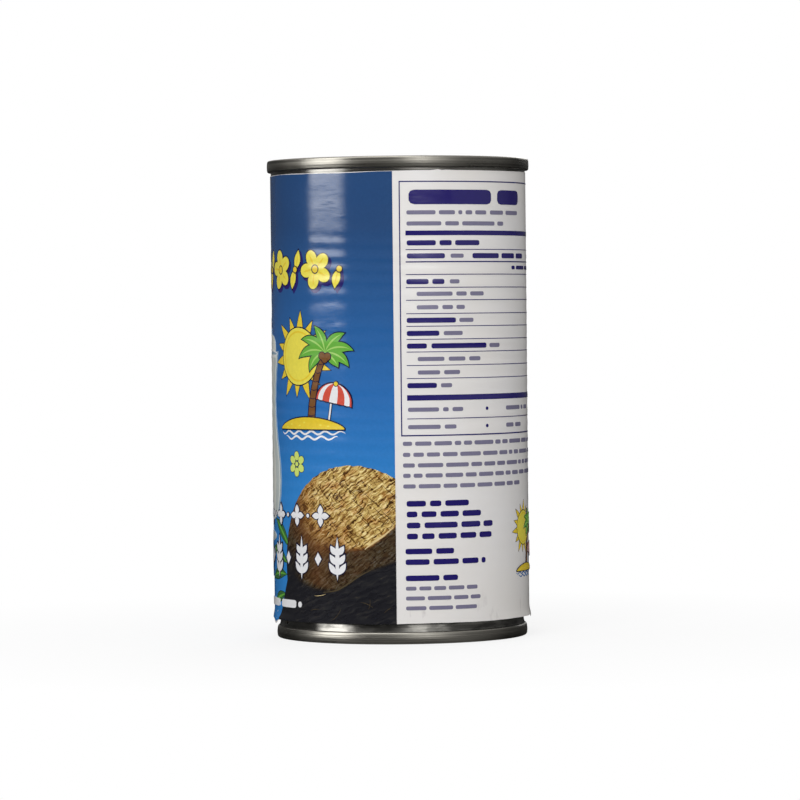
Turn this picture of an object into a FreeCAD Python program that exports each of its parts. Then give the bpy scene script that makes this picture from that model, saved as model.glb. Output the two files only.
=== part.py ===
import FreeCAD, Part
import math
import os

import Sketcher

# A shut three-piece food can in a wrap-round paper label.
# Millimetres, +Z up, origin at the centre of the circle that the can stands on.
# The front of the can faces -Y, and the label's two ends lap over each other at the back, +Y.

DRIVING_SIZES = [
    ("can_height", 123.8, "over both seams"),
    ("top_seam_diameter", 68.3, "outside of the top seam"),
    ("bottom_seam_diameter", 65.4, "outside of the bottom seam, smaller because the wall is necked in"),
    ("top_seam_height", 3.0, "height of the top seam's outer band"),
    ("bottom_seam_height", 3.1, "height of the bottom seam's outer band"),
    ("seam_overhang", 1.05, "how far a seam stands out from the wall"),
    ("seam_thickness", 1.55, "across the folded layers of a seam"),
    ("seam_crown_round", 0.55, "rounding of both corners of a seam's rim"),
    ("seam_hook_round", 0.4, "rounding of the outer band's free edge"),
    ("wall_gauge", 0.25, "wall where it runs up into a seam"),
    ("end_gauge", 0.3, "sheet of the ends, under the countersink"),
    ("chuck_taper", 0.25, "how far an end's chuck wall leans in"),
    ("countersink_depth", 3.9, "rim to the lowest point of an end"),
    ("countersink_round", 0.6, "radius of the countersink's floor"),
    ("panel_depth", 2.6, "rim to the flat panel of an end"),
    ("panel_round", 0.5, "rounding of the panel's edge"),
    ("ring_margin", 2.0, "panel's edge to the first expansion ring"),
    ("ring_width", 2.6, "width of an expansion ring"),
    ("ring_rise", 0.45, "height of an expansion ring above the panel"),
    ("ring_pitch", 4.2, "one expansion ring to the next"),
    ("ring_total", 3, "expansion rings on each end"),
    ("neck_length", 1.9, "straight neck above the bottom seam"),
    ("shoulder_slope", 2.0, "height of the neck's shoulder for each millimetre that it widens"),
    ("bead_total", 22, "beads rolled into the wall"),
    ("bead_pitch", 3.7, "one bead to the next"),
    ("bead_width", 2.6, "width of a bead at the wall's surface"),
    ("bead_depth", 0.4, "depth of a bead"),
    ("paper_thickness", 0.15, "label paper with its glue"),
    ("label_gap", 0.6, "bare wall between the top seam and the label"),
    ("label_overhang", 2.7, "how far the label hangs below the top of the neck's shoulder"),
    ("lap_width", 10.0, "how far the label's ends lap over each other"),
]

# The parts of a groove's outline that lie outside the wall reach this far.
CUTTER_REACH = 0.5


class Size:
    """A length worked out from the sheet: the formula as text, and its value now."""

    def __init__(self, text, value):
        self.text = text
        self.value = value

    @staticmethod
    def of(thing):
        return thing if isinstance(thing, Size) else Size(str(thing), float(thing))

    def joined(self, sign, other, value):
        return Size(f"({self.text} {sign} {Size.of(other).text})", value)

    def __add__(self, other):
        return self.joined("+", other, self.value + Size.of(other).value)

    def __sub__(self, other):
        return self.joined("-", other, self.value - Size.of(other).value)

    def __mul__(self, other):
        return self.joined("*", other, self.value * Size.of(other).value)

    def __truediv__(self, other):
        return self.joined("/", other, self.value / Size.of(other).value)

    def root(self):
        return Size(f"sqrt({self.text})", math.sqrt(self.value))


ZERO = Size("0", 0.0)


def make_sheet(doc):
    """Write the driving sizes into a spreadsheet, one alias to a row."""
    sheet = doc.addObject("Spreadsheet::Sheet", "sizes")
    for row, (alias, value, meaning) in enumerate(DRIVING_SIZES, start=1):
        sheet.set(f"A{row}", alias)
        sheet.set(f"B{row}", str(value))
        sheet.set(f"C{row}", meaning)
        sheet.setAlias(f"B{row}", alias)
    doc.recompute()
    return sheet


def origin_item(body, role):
    """The body's own origin plane or axis of that role."""
    return next(item for item in body.Origin.OriginFeatures if item.Role == role)


def new_body(doc, label):
    """An empty body whose label names the sub-part."""
    body = doc.addObject("PartDesign::Body", label)
    body.Label = label
    return body


def arc_between(start, end, radius):
    """The short arc from start to end. It turns left for a positive radius, right for a negative one."""
    middle = (start + end) * 0.5
    half = (end - start) * 0.5
    reach = math.sqrt(radius * radius - half.Length * half.Length)
    left = FreeCAD.Vector(-half.y, half.x, 0).normalize()
    centre = middle + left * math.copysign(reach, radius)
    circle = Part.Circle(centre, FreeCAD.Vector(0, 0, 1), abs(radius))
    first, last = (start, end) if radius > 0 else (end, start)
    angle_first = math.atan2(first.y - centre.y, first.x - centre.x)
    angle_last = math.atan2(last.y - centre.y, last.x - centre.x)
    if angle_last < angle_first:
        angle_last += 2 * math.pi
    return Part.ArcOfCircle(circle, angle_first, angle_last)


def pin(sketch, kind, geometry, point, size):
    """Hold one coordinate of a point at a size, or on the axis when it is nothing."""
    if size.value == 0:
        axis = -2 if kind == "DistanceX" else -1
        sketch.addConstraint(Sketcher.Constraint("PointOnObject", geometry, point, axis))
        return
    index = sketch.addConstraint(Sketcher.Constraint(kind, geometry, point, size.value))
    sketch.setExpression(f"Constraints[{index}]", size.text)


def outline(body, name, role, steps):
    """Draw a closed outline on one of the body's origin planes.

    Each step is (x, y) for a straight edge to that corner, or (x, y, radius, turn) for an arc to it,
    with turn +1 for an arc that turns left and -1 for one that turns right.
    """
    sketch = body.newObject("Sketcher::SketchObject", name)
    sketch.AttachmentSupport = (origin_item(body, role), [""])
    sketch.MapMode = "FlatFace"
    corners = [FreeCAD.Vector(step[0].value, step[1].value, 0) for step in steps]
    start_point, end_point = [], []
    for number, step in enumerate(steps):
        start, end = corners[number - 1], corners[number]
        turn = step[3] if len(step) == 4 else 0
        if turn:
            sketch.addGeometry(arc_between(start, end, turn * step[2].value))
        else:
            sketch.addGeometry(Part.LineSegment(start, end))
        start_point.append(2 if turn < 0 else 1)
        end_point.append(1 if turn < 0 else 2)
    for number, step in enumerate(steps):
        following = (number + 1) % len(steps)
        sketch.addConstraint(Sketcher.Constraint(
            "Coincident", number, end_point[number], following, start_point[following]))
        pin(sketch, "DistanceX", number, end_point[number], step[0])
        pin(sketch, "DistanceY", number, end_point[number], step[1])
        if len(step) == 4:
            index = sketch.addConstraint(Sketcher.Constraint("Radius", number, step[2].value))
            sketch.setExpression(f"Constraints[{index}]", step[2].text)
    return sketch


def turned(body, kind, name, sketch):
    """Turn an outline once round the upright axis, as a Revolution or a Groove."""
    feature = body.newObject(f"PartDesign::{kind}", name)
    feature.Profile = sketch
    feature.ReferenceAxis = (sketch, ["V_Axis"])
    feature.Angle = 360
    sketch.Visibility = False
    return feature


def ring_arc(size):
    """Radius of the arc that is ring_width wide and ring_rise high."""
    half = size("ring_width") / 2
    rise = size("ring_rise")
    return (half * half + rise * rise) / (rise * 2)


def make_end(doc, size, label, seam_diameter, seam_height):
    """A plain end with its double seam, drawn with its rim down at z = 0.

    From the outside in: the seam's outer band, its rounded rim, the chuck wall, the countersink,
    the panel with its expansion rings. The back is flat, against what fills the can.
    """
    body = new_body(doc, label)
    outer = size(seam_diameter) / 2
    band = size(seam_height)
    back = size("countersink_depth") + size("end_gauge")
    plug = outer - size("seam_overhang") - size("wall_gauge")
    crown = size("seam_crown_round")
    hook = size("seam_hook_round")
    inner = outer - size("seam_thickness")
    chuck = inner - size("chuck_taper")
    sink = size("countersink_round")
    sink_start = size("countersink_depth") - sink
    panel = size("panel_depth")
    panel_round = size("panel_round")
    panel_edge = chuck - sink * 2
    steps = [
        (ZERO, back),
        (plug, back),
        (plug, band),
        (outer - hook, band),
        (outer, band - hook, hook, -1),
        (outer, crown),
        (outer - crown, ZERO, crown, -1),
        (inner + crown, ZERO),
        (inner, crown, crown, -1),
        (chuck, sink_start),
        (chuck - sink, size("countersink_depth"), sink, 1),
        (panel_edge, sink_start, sink, 1),
        (panel_edge, panel + panel_round),
        (panel_edge - panel_round, panel, panel_round, -1),
    ]
    ring_edge = panel_edge - panel_round - size("ring_margin")
    for _ in range(int(size("ring_total").value)):
        steps.append((ring_edge, panel))
        steps.append((ring_edge - size("ring_width"), panel, ring_arc(size), -1))
        ring_edge = ring_edge - size("ring_pitch")
    steps.append((ZERO, panel))
    sketch = outline(body, f"{label}_outline", "XZ_Plane", steps)
    turned(body, "Revolution", f"{label}_turned", sketch)
    return body


def make_top_end(doc, size):
    """The top end: the same form turned over, with its rim at the can's full height."""
    body = make_end(doc, size, "top_end", "top_seam_diameter", "top_seam_height")
    over = FreeCAD.Rotation(FreeCAD.Vector(1, 0, 0), 180)
    body.Placement = FreeCAD.Placement(FreeCAD.Vector(0, 0, size("can_height").value), over)
    body.setExpression("Placement.Base.z", size("can_height").text)
    return body


def make_bottom_end(doc, size):
    """The bottom end stands as it is drawn, on its rim."""
    return make_end(doc, size, "bottom_end", "bottom_seam_diameter", "bottom_seam_height")


def wall_radius(size):
    """Outside of the straight wall."""
    return size("top_seam_diameter") / 2 - size("seam_overhang")


def neck_radius(size):
    """Outside of the wall where it is necked in."""
    return size("bottom_seam_diameter") / 2 - size("seam_overhang")


def shoulder_foot(size):
    """Height at which the wall starts to widen above the neck."""
    return size("bottom_seam_height") + size("neck_length")


def shoulder_top(size):
    """Height at which the wall reaches its full width."""
    return shoulder_foot(size) + (wall_radius(size) - neck_radius(size)) * size("shoulder_slope")


def make_can_body(doc, size):
    """The wall with what fills it: straight, beaded, and necked in above the bottom seam."""
    body = new_body(doc, "can_body")
    wall = wall_radius(size)
    neck = neck_radius(size)
    gauge = size("wall_gauge")
    seat = size("countersink_depth") + size("end_gauge")
    seat_top = size("can_height") - seat
    top = size("can_height") - size("top_seam_height")
    foot = shoulder_foot(size)
    widening = wall - neck
    shoulder = shoulder_top(size) - foot
    shoulder_arc = (widening * widening + shoulder * shoulder) / (widening * 4)
    sketch = outline(body, "can_body_outline", "XZ_Plane", [
        (ZERO, seat),
        (neck - gauge, seat),
        (neck - gauge, size("bottom_seam_height")),
        (neck, size("bottom_seam_height")),
        (neck, foot),
        (neck + widening / 2, foot + shoulder / 2, shoulder_arc, -1),
        (wall, foot + shoulder, shoulder_arc, 1),
        (wall, top),
        (wall - gauge, top),
        (wall - gauge, seat_top),
        (ZERO, seat_top),
    ])
    turned(body, "Revolution", "can_body_turned", sketch)

    half = size("bead_width") / 2
    depth = size("bead_depth")
    run = size("bead_pitch") * (size("bead_total") - 1)
    first = (size("can_height") - run) / 2
    bead_sketch = outline(body, "bead_outline", "XZ_Plane", [
        (wall + CUTTER_REACH, first - half),
        (wall + CUTTER_REACH, first + half),
        (wall, first + half),
        (wall, first - half, (half * half + depth * depth) / (depth * 2), 1),
    ])
    bead = turned(body, "Groove", "bead", bead_sketch)

    beads = body.newObject("PartDesign::LinearPattern", "beads")
    beads.Originals = [bead]
    beads.Direction = (origin_item(body, "Z_Axis"), [""])
    beads.setExpression("Length", run.text)
    beads.setExpression("Occurrences", size("bead_total").text)
    body.Tip = beads
    return body


def make_label(doc, size):
    """The paper sleeve, with the strip at the back where its two ends lap."""
    body = new_body(doc, "label")
    inside = wall_radius(size)
    paper = size("paper_thickness")
    foot = shoulder_top(size) - size("label_overhang")
    head = size("can_height") - size("top_seam_height") - size("label_gap")
    sketch = outline(body, "label_outline", "XZ_Plane", [
        (inside, foot),
        (inside + paper, foot),
        (inside + paper, head),
        (inside, head),
    ])
    turned(body, "Revolution", "label_turned", sketch)

    lap = size("lap_width")
    outside = inside + paper * 2
    lap_sketch = outline(body, "lap_outline", "XY_Plane", [
        (ZERO, inside, inside, 1),
        (ZERO, outside),
        (lap, (outside * outside - lap * lap).root(), outside, -1),
        (lap, (inside * inside - lap * lap).root()),
    ])
    lap_sketch.setExpression("AttachmentOffset.Base.z", foot.text)
    strip = body.newObject("PartDesign::Pad", "lap")
    strip.Profile = lap_sketch
    strip.setExpression("Length", (head - foot).text)
    lap_sketch.Visibility = False
    return body


def check(doc, bodies):
    """Stop on any feature that failed, and on any sub-part that isn't one valid solid."""
    for item in doc.Objects:
        if "Invalid" in item.State or "Error" in item.State:
            raise RuntimeError(f"{item.Name} failed: {item.State}")
    for body in bodies:
        shape = body.Shape
        if shape.isNull() or not shape.isValid() or len(shape.Solids) != 1:
            raise RuntimeError(f"{body.Label} isn't one valid solid")


def main():
    doc = FreeCAD.newDocument("food_can")
    sheet = make_sheet(doc)

    def size(alias):
        return Size(f"sizes.{alias}", float(sheet.get(alias)))

    bodies = [
        make_can_body(doc, size),
        make_top_end(doc, size),
        make_bottom_end(doc, size),
        make_label(doc, size),
    ]
    doc.recompute()
    check(doc, bodies)
    os.makedirs("parts", exist_ok=True)
    for body in bodies:
        body.Shape.exportStep(f"parts/{body.Label}.step")
        print(f"{body.Label}: {body.Shape.Volume:.1f} mm3")


main()
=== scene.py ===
"""A shut food can: seamed tinplate, a wrap-round paper label with its print, and a plain studio.

Lengths in the functions are millimetres on the label's own plane: s runs round the can from the
front, to the right, and z runs up. Blender's metres come in only where a mesh is written.
"""

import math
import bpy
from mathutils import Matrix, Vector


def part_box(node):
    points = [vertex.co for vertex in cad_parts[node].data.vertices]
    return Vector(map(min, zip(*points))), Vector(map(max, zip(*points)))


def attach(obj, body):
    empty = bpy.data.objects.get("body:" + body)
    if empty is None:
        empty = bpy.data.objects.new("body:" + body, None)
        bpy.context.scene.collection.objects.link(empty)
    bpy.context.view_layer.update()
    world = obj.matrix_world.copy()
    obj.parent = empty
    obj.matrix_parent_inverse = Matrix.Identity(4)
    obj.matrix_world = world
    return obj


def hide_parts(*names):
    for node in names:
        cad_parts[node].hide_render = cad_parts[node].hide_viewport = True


bl_info = {
    "name": "Coconut cream can",
    "version": (1, 0, 0),
    "blender": (4, 5, 0),
    "location": "3D View > Sidebar > Can",
    "description": "Builds a shut food can: its metal, its printed paper label and a plain studio",
    "category": "Add Mesh",
}

import bpy
import numpy as np
from mathutils import Matrix

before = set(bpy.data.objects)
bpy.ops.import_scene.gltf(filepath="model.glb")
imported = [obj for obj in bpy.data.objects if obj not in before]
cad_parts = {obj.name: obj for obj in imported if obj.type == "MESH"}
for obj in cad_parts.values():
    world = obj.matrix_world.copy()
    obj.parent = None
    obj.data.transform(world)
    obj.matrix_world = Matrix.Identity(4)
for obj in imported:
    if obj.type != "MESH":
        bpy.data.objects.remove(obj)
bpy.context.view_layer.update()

MM = 0.001
TURN = 2 * math.pi
UV_PER_MM = 0.01
SHARP_FROM = math.radians(40)


def node_size(node):
    """Largest radius, lowest and highest height of a CAD node, in mm."""
    low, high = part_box(node)
    return high[0] / MM, low[2] / MM, high[2] / MM


LABEL_R, LABEL_FOOT, LABEL_HEAD = node_size("label")
WALL_R, WALL_FOOT, WALL_HEAD = node_size("can_body")
TOP_R, TOP_BACK, CAN_HEIGHT = node_size("top_end")
BOTTOM_R, _, BOTTOM_BACK = node_size("bottom_end")
HALF_ROUND = math.pi * LABEL_R


# ---------------------------------------------------------------- settings


def tone(red, green, blue):
    """A display colour, 0 to 255, as the linear colour that shaders take."""
    shares = [value / 255 for value in (red, green, blue)]
    return tuple(v / 12.92 if v <= 0.04045 else ((v + 0.055) / 1.055) ** 2.4 for v in shares)


def length(name, description, millimetres):
    return bpy.props.FloatProperty(
        name=name, description=description, default=millimetres * MM, unit="LENGTH", precision=5)


def colour(name, description, red, green, blue):
    return bpy.props.FloatVectorProperty(
        name=name, description=description, default=tone(red, green, blue),
        subtype="COLOR", size=3, min=0, max=1)


def amount(name, description, value):
    return bpy.props.FloatProperty(name=name, description=description, default=value)


class CanMetal(bpy.types.PropertyGroup):
    """Sizes and finish of the tinplate."""

    seam_thickness: length("Seam thickness", "Across the folded layers of a seam", 1.55)
    crown_round: length("Seam rounding", "Rounding of a seam's rim", 0.42)
    hook_round: length("Hook rounding", "Rounding of a seam's free edge", 0.4)
    bottom_hook: length("Bottom hook", "Height of the bottom seam's rounded free edge", 1.15)
    sink_depth: length("Countersink depth", "Rim to the lowest point of an end", 3.9)
    sink_round: length("Countersink rounding", "Radius of the countersink's floor", 0.6)
    panel_depth: length("Panel depth", "Rim to the flat panel", 2.6)
    ring_pitch: length("Ring pitch", "One expansion ring to the next", 4.2)
    ring_width: length("Ring width", "Width of an expansion ring", 2.6)
    ring_rise: length("Ring rise", "Height of an expansion ring", 0.45)
    bead_pitch: length("Bead pitch", "One wall bead to the next", 3.7)
    bead_depth: length("Bead depth", "Depth of a wall bead", 0.4)
    bead_total: bpy.props.IntProperty(name="Beads", description="Beads in the wall", default=22)
    tin: colour("Tinplate", "Colour of the bright tinplate", 186, 183, 176)
    wall_tin: colour("Wall", "Colour of the tinplate on the wall", 128, 126, 121)
    seam_tin: colour("Worn tinplate", "Colour of the tinplate on the seams", 142, 139, 131)


class CanLabel(bpy.types.PropertyGroup):
    """Sizes of the paper and how it lies."""

    paper: length("Paper", "Thickness of the label paper", 0.13)
    lap: length("Lap", "How far the label's ends lap", 10.0)
    overhang: length("Overhang", "Free paper below the neck's shoulder", 2.7)
    flare: length("Flare", "How far the free edge stands out", 0.42)
    ripple: length("Ripple", "Depth of the beads' print-through", 0.06)
    skew: length("Skew", "How far the label sits askew", 0.15)


class CanInks(bpy.types.PropertyGroup):
    """Printed colours."""

    paper_white: colour("Paper", "Unprinted paper", 238, 236, 235)
    blue_head: colour("Blue, head", "Top of the blue panel", 37, 73, 121)
    blue_middle: colour("Blue, middle", "Middle of the blue panel", 44, 110, 181)
    blue_foot: colour("Blue, foot", "Foot of the blue panel", 51, 134, 208)
    navy: colour("Navy", "Type, rules and shadows", 36, 28, 104)
    yellow: colour("Yellow", "Ornament and sun", 240, 226, 84)
    gold: colour("Gold", "Deeper yellow", 236, 206, 58)
    green: colour("Green", "Leaves", 106, 178, 66)
    red: colour("Red", "Stripes", 214, 84, 66)
    white: colour("White ink", "Ornament over the picture", 240, 240, 242)
    brown: colour("Brown", "Trunk and shells", 124, 82, 44)
    outline: colour("Outline", "Outlines", 22, 22, 56)
    tint: colour("Navy tint", "Light type", 124, 121, 146)
    blue: colour("Plain blue", "Blue on the white panel", 50, 112, 176)
    leaf_light: colour("Light leaf", "Leaf ribs", 168, 214, 112)
    leaf_dark: colour("Dark leaf", "Leaves behind the nuts", 62, 112, 62)
    leaf_shade: colour("Leaf shade", "Edges of the dark leaves", 24, 58, 44)
    lime: colour("Lime", "Small blossom", 214, 232, 120)
    cream: colour("Cream", "The drink and the nut's flesh", 234, 236, 228)
    shade: colour("Shade", "Edge of the glass", 150, 176, 196)
    glass_grey: colour("Glass grey", "Shaded glass and flesh", 200, 208, 206)
    shell: colour("Shell", "Inside of the shell", 84, 54, 32)
    shadow: colour("Ground", "Under the nuts", 34, 34, 38)
    straw: colour("Straw", "Light fibres", 224, 200, 146)
    gap: colour("Gap", "Dark gaps in the husk", 84, 60, 38)
    amber: colour("Amber", "Scratches in the dark", 80, 69, 49)


class CanStudio(bpy.types.PropertyGroup):
    """Camera and lights."""

    distance: length("Camera distance", "Camera to the can's axis", 1065)
    height: length("Camera height", "Camera above the floor", 84)
    aim: length("Camera aim", "Height on the can's axis that the camera looks at", 61.3)
    lens: bpy.props.FloatProperty(name="Lens", description="Focal length in mm", default=183.6)
    roll: bpy.props.FloatProperty(
        name="Roll", description="Camera turned about its view", default=math.radians(0.6),
        subtype="ANGLE")
    key: amount("Key", "Power in watts of the lamp high in front", 16.5)
    back: amount("Back lamp", "Power in watts of the lamp behind", 9.0)
    strip: amount("Side box", "Brightness of the tall box at the left", 6.9)
    card: amount("Front card", "Brightness of the box high at the right of the camera", 4.0)
    over: amount("Top card", "Brightness of the card high over the camera", 4.5)
    fill: amount("Fill", "Brightness of the room for diffuse light", 0.5)


def settings(group):
    return getattr(bpy.context.scene, group)


def in_mm(value):
    return value / MM


# ---------------------------------------------------------------- meshes


def write_mesh(name, points, faces, material, plane=None, marks=None):
    """A mesh object from points in mm.

    plane gives each point's (s, z) for the UV map, and marks its attributes.
    """
    mesh = bpy.data.meshes.new(name)
    mesh.from_pydata((np.asarray(points) * MM).tolist(), [], faces)
    mesh.polygons.foreach_set("use_smooth", np.ones(len(mesh.polygons), dtype=bool))
    mesh.set_sharp_from_angle(angle=SHARP_FROM)
    if plane is not None:
        corners = np.empty(len(mesh.loops), dtype=np.int32)
        mesh.loops.foreach_get("vertex_index", corners)
        uv = mesh.uv_layers.new(name="print_plane")
        uv.data.foreach_set("uv", (plane[corners] * UV_PER_MM).ravel())
    for mark, values in (marks or {}).items():
        mesh.attributes.new(mark, "FLOAT", "POINT").data.foreach_set("value", values)
    mesh.materials.append(material)
    mesh.update()
    piece = bpy.data.objects.new(name, mesh)
    bpy.context.scene.collection.objects.link(piece)
    return piece


def finish_piece(piece, slot, *nodes):
    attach(piece, "root")
    if nodes:
        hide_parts(*nodes)


def turned(name, profile, material, waver=None):
    """A closed form of revolution: (r cos a, r sin a, z) for each (r, z) of a profile.

    The profile starts and ends on the axis. waver(a, z) is added to the radius.
    """
    turns = 288
    angle = np.arange(turns) / turns * TURN
    r, z = profile[1:-1, 0][:, None], profile[1:-1, 1][:, None]
    if waver:
        r = r + waver(angle[None, :], z)
    rings = np.stack([r * np.cos(angle), r * np.sin(angle), z + 0 * angle], axis=-1)
    count = rings.shape[0]
    points = np.vstack([rings.reshape(-1, 3), [[0, 0, profile[0, 1]], [0, 0, profile[-1, 1]]]])
    ring = np.arange(count * turns).reshape(count, turns)
    after = np.roll(ring, -1, axis=1)
    quads = np.stack([ring[:-1], after[:-1], after[1:], ring[1:]], axis=-1).reshape(-1, 4)
    first = np.stack([np.full(turns, count * turns), after[0], ring[0]], axis=-1)
    last = np.stack([np.full(turns, count * turns + 1), ring[-1], after[-1]], axis=-1)
    enclosed = np.sum(profile[:-1, 0] ** 2 * np.diff(profile[:, 1]))
    faces = quads.tolist() + first.tolist() + last.tolist()
    if enclosed < 0:
        faces = [face[::-1] for face in faces]
    return write_mesh(name, points, faces, material)


def arc(centre, radius, start, end, count=8):
    """Points (x, y) on a circle's arc from one angle in degrees to another."""
    angle = np.radians(np.linspace(start, end, count))
    return np.asarray(centre) + radius * np.stack([np.cos(angle), np.sin(angle)], axis=-1)


# ---------------------------------------------------------------- the label's surface


def ease(x):
    """0 below 0, 1 above 1, and 3x^2 - 2x^3 between."""
    x = np.clip(x, 0, 1)
    return x * x * (3 - 2 * x)


def bump_at(x, centre, width):
    """exp(-((x - centre) / width)^2)"""
    return np.exp(-(((x - centre) / width) ** 2))


def label_foot(s):
    """Height of the paper's lower edge: a little wavy, torn at the left and nicked at the right."""
    turn = s / LABEL_R
    wavy = 0.10 * np.sin(2 * turn + 0.6) + 0.05 * np.sin(7 * turn) + 0.02 * np.sin(31 * turn)
    flap = -1.2 * bump_at(s, -45.0, 1.8) * (1 + 0.25 * np.sin(5.1 * s))
    nicks = 0.35 * bump_at(s, 47.5, 0.9) - 0.45 * bump_at(s, 50.0, 0.9)
    nicks = nicks + 0.3 * bump_at(s, 52.0, 0.6)
    return LABEL_FOOT + wavy + flap + nicks


def label_head(s):
    """Height of the paper's upper edge: askew, scuffed at the right, and worn back at the left."""
    turn = s / LABEL_R
    skew = in_mm(settings("can_label").skew) * np.sin(turn - 0.35)
    torn = 0.22 * bump_at(s, 11.4, 1.6) * (1 + np.sin(4.3 * s))
    worn = 0.2 * bump_at(s, -19.5, 8)
    return LABEL_HEAD - 0.15 + skew + torn - worn + 0.04 * np.sin(5 * turn)


def label_radius(s, z):
    """Outside of the paper at arc s and height z.

    R, plus the step where the ends lap, plus the ripple that the wall's beads print through, plus
    slack that the glue leaves, plus the flare of the free lower edge. Every wave fits a whole
    number of times round the can.
    """
    sizes = settings("can_label")
    metal = settings("can_metal")
    turn = s / LABEL_R
    middle = CAN_HEIGHT / 2
    reach = in_mm(metal.bead_pitch) * metal.bead_total / 2
    step = in_mm(sizes.paper) * ease((1.2 - HALF_ROUND - s) / 2.4)
    phase = TURN * (z - middle) / in_mm(metal.bead_pitch)
    phase = phase + 1.1 * np.sin(z / 7.3 + 2 * turn) + 0.8 * np.sin(z / 3.1 + 0.9)
    strength = (0.7 + 0.3 * np.sin(2 * turn + z / 13)) * ease((reach + 3 - np.abs(z - middle)) / 3)
    ripple = in_mm(sizes.ripple) * 0.5 * (np.cos(phase) - 1) * strength
    slack = 0.02 * np.sin(3 * turn + 1) * np.sin(z / 19) + 0.012 * np.sin(11 * turn + z / 23)
    free = ease((LABEL_FOOT + in_mm(sizes.overhang) - z) / in_mm(sizes.overhang))
    round_edge = 0.06 + 0.84 * np.sin(turn) ** 6 + 0.1 * np.sin(9 * turn) * np.sin(turn) ** 2
    return LABEL_R + step + ripple + slack + in_mm(sizes.flare) * free ** 1.5 * round_edge


def on_can(s, radius, z):
    """(radius sin(s/R), -radius cos(s/R), z)"""
    turn = s / LABEL_R
    return np.stack([radius * np.sin(turn), -radius * np.cos(turn), z], axis=-1)


INK_ROOT = 0.008


def shell(s, z, lift, root, start, wrap=False):
    """One closed skin over a grid of (s, z), its outside lift above the paper, its inside below.

    A grid whose cross product is negative would face inwards, so it is turned round first.
    """
    along_s, across_s = np.diff(s, axis=0)[:, :-1], np.diff(s, axis=1)[:-1]
    along_z, across_z = np.diff(z, axis=0)[:, :-1], np.diff(z, axis=1)[:-1]
    if np.sum(along_s * across_z - along_z * across_s) < 0:
        s, z = s[:, ::-1], z[:, ::-1]
    outside = label_radius(s, z)
    points = np.concatenate([
        on_can(s, outside + lift, z).reshape(-1, 3), on_can(s, outside - root, z).reshape(-1, 3)])
    count = s.size
    index = np.arange(count).reshape(s.shape) + start
    if wrap:
        index = np.vstack([index, index[:1]])
    corners = index[:-1, :-1], index[1:, :-1], index[1:, 1:], index[:-1, 1:]
    top = np.stack(corners, axis=-1).reshape(-1, 4)
    if wrap:
        a = np.concatenate([index[:-1, 0], index[1:, -1]])
        b = np.concatenate([index[1:, 0], index[:-1, -1]])
    else:
        a = np.concatenate([index[:-1, 0], index[-1, :-1], index[:0:-1, -1], index[0, :0:-1]])
        b = np.roll(a, -1)
    sides = np.stack([a, a + count, b + count, b], axis=-1)
    return points, np.concatenate([top, top[:, ::-1] + count, sides])


def skin(name, patches, material, root=INK_ROOT, marks=None):
    """One piece from many patches, each (s grid, z grid, lift), and True for a closed ring."""
    points, faces, planes, start = [], [], [], 0
    for s, z, lift, *wrap in patches:
        patch_points, patch_faces = shell(s, z, lift, root, start, bool(wrap))
        points.append(patch_points)
        faces.append(patch_faces)
        turn = np.arctan2(patch_points[:, 0], -patch_points[:, 1])
        planes.append(np.stack([turn * LABEL_R, patch_points[:, 2]], axis=-1))
        start += len(patch_points)
    points, planes = np.concatenate(points), np.concatenate(planes)
    values = {mark: rule(planes[:, 0], planes[:, 1]) for mark, rule in (marks or {}).items()}
    faces = np.concatenate(faces).tolist()
    return write_mesh(name, points, faces, material, plane=planes, marks=values)


# ---------------------------------------------------------------- shapes on the label's plane


def steps_for(width, pitch, least=3):
    return max(least, int(math.ceil(abs(width) / pitch)) + 1)


def box_patch(s0, s1, z0, z1, lift):
    """An upright rectangle."""
    s = np.linspace(s0, s1, steps_for(s1 - s0, 1.0))
    z = np.linspace(z0, z1, steps_for(z1 - z0, 0.6, 2))
    grid = np.meshgrid(s, z, indexing="ij")
    return grid[0], grid[1], lift


def word(s0, s1, middle, high, lift):
    """A bar with rounded ends: high / 2 times the root of 1 - d^2, d falling to 0 over each end."""
    soft = min(high * 0.4, (s1 - s0) * 0.4)
    inner = np.linspace(s0 + soft, s1 - soft, steps_for(s1 - s0 - 2 * soft, 1.0))
    s = np.concatenate([[s0, s0 + soft * 0.3], inner, [s1 - soft * 0.3, s1]])
    d = 1 - np.clip(np.minimum(s - s0, s1 - s) / soft, 0, 1)
    half = high / 2 * (0.45 + 0.55 * np.sqrt(1 - d * d))
    v = np.linspace(-1, 1, steps_for(high, 0.8, 2))[None, :]
    return np.repeat(s[:, None], v.size, axis=1), middle + half[:, None] * v, lift


def oval(s, z, half_s, half_z, lift, grow=0.0):
    """A disc from a square grid: x sqrt(1 - y^2/2), y sqrt(1 - x^2/2), times the half widths."""
    side = np.linspace(-1, 1, steps_for(2 * max(half_s, half_z) + 2 * grow, 0.7, 7))
    x, y = np.meshgrid(side, side, indexing="ij")
    across = (half_s + grow) * x * np.sqrt(1 - y * y / 2)
    up = (half_z + grow) * y * np.sqrt(1 - x * x / 2)
    return s + across, z + up, lift


def diamond(s, z, half_s, half_z, lift, grow=0.0):
    """A square grid turned on its corner: (x + y) / 2 across and (y - x) / 2 up."""
    side = np.linspace(-1, 1, steps_for(2 * max(half_s, half_z), 0.8, 3))
    x, y = np.meshgrid(side, side, indexing="ij")
    return s + (half_s + 1.3 * grow) * (x + y) / 2, z + (half_z + 1.3 * grow) * (y - x) / 2, lift


def hoop(s, z, half_s, half_z, width, lift):
    """A closed ring inside the given half widths."""
    angle = np.arange(48) / 48 * TURN
    inset = np.array([width, 0.0])
    across = np.cos(angle)[:, None] * (half_s - inset)
    up = np.sin(angle)[:, None] * (half_z - inset)
    return s + across, z + up, lift, True


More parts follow.
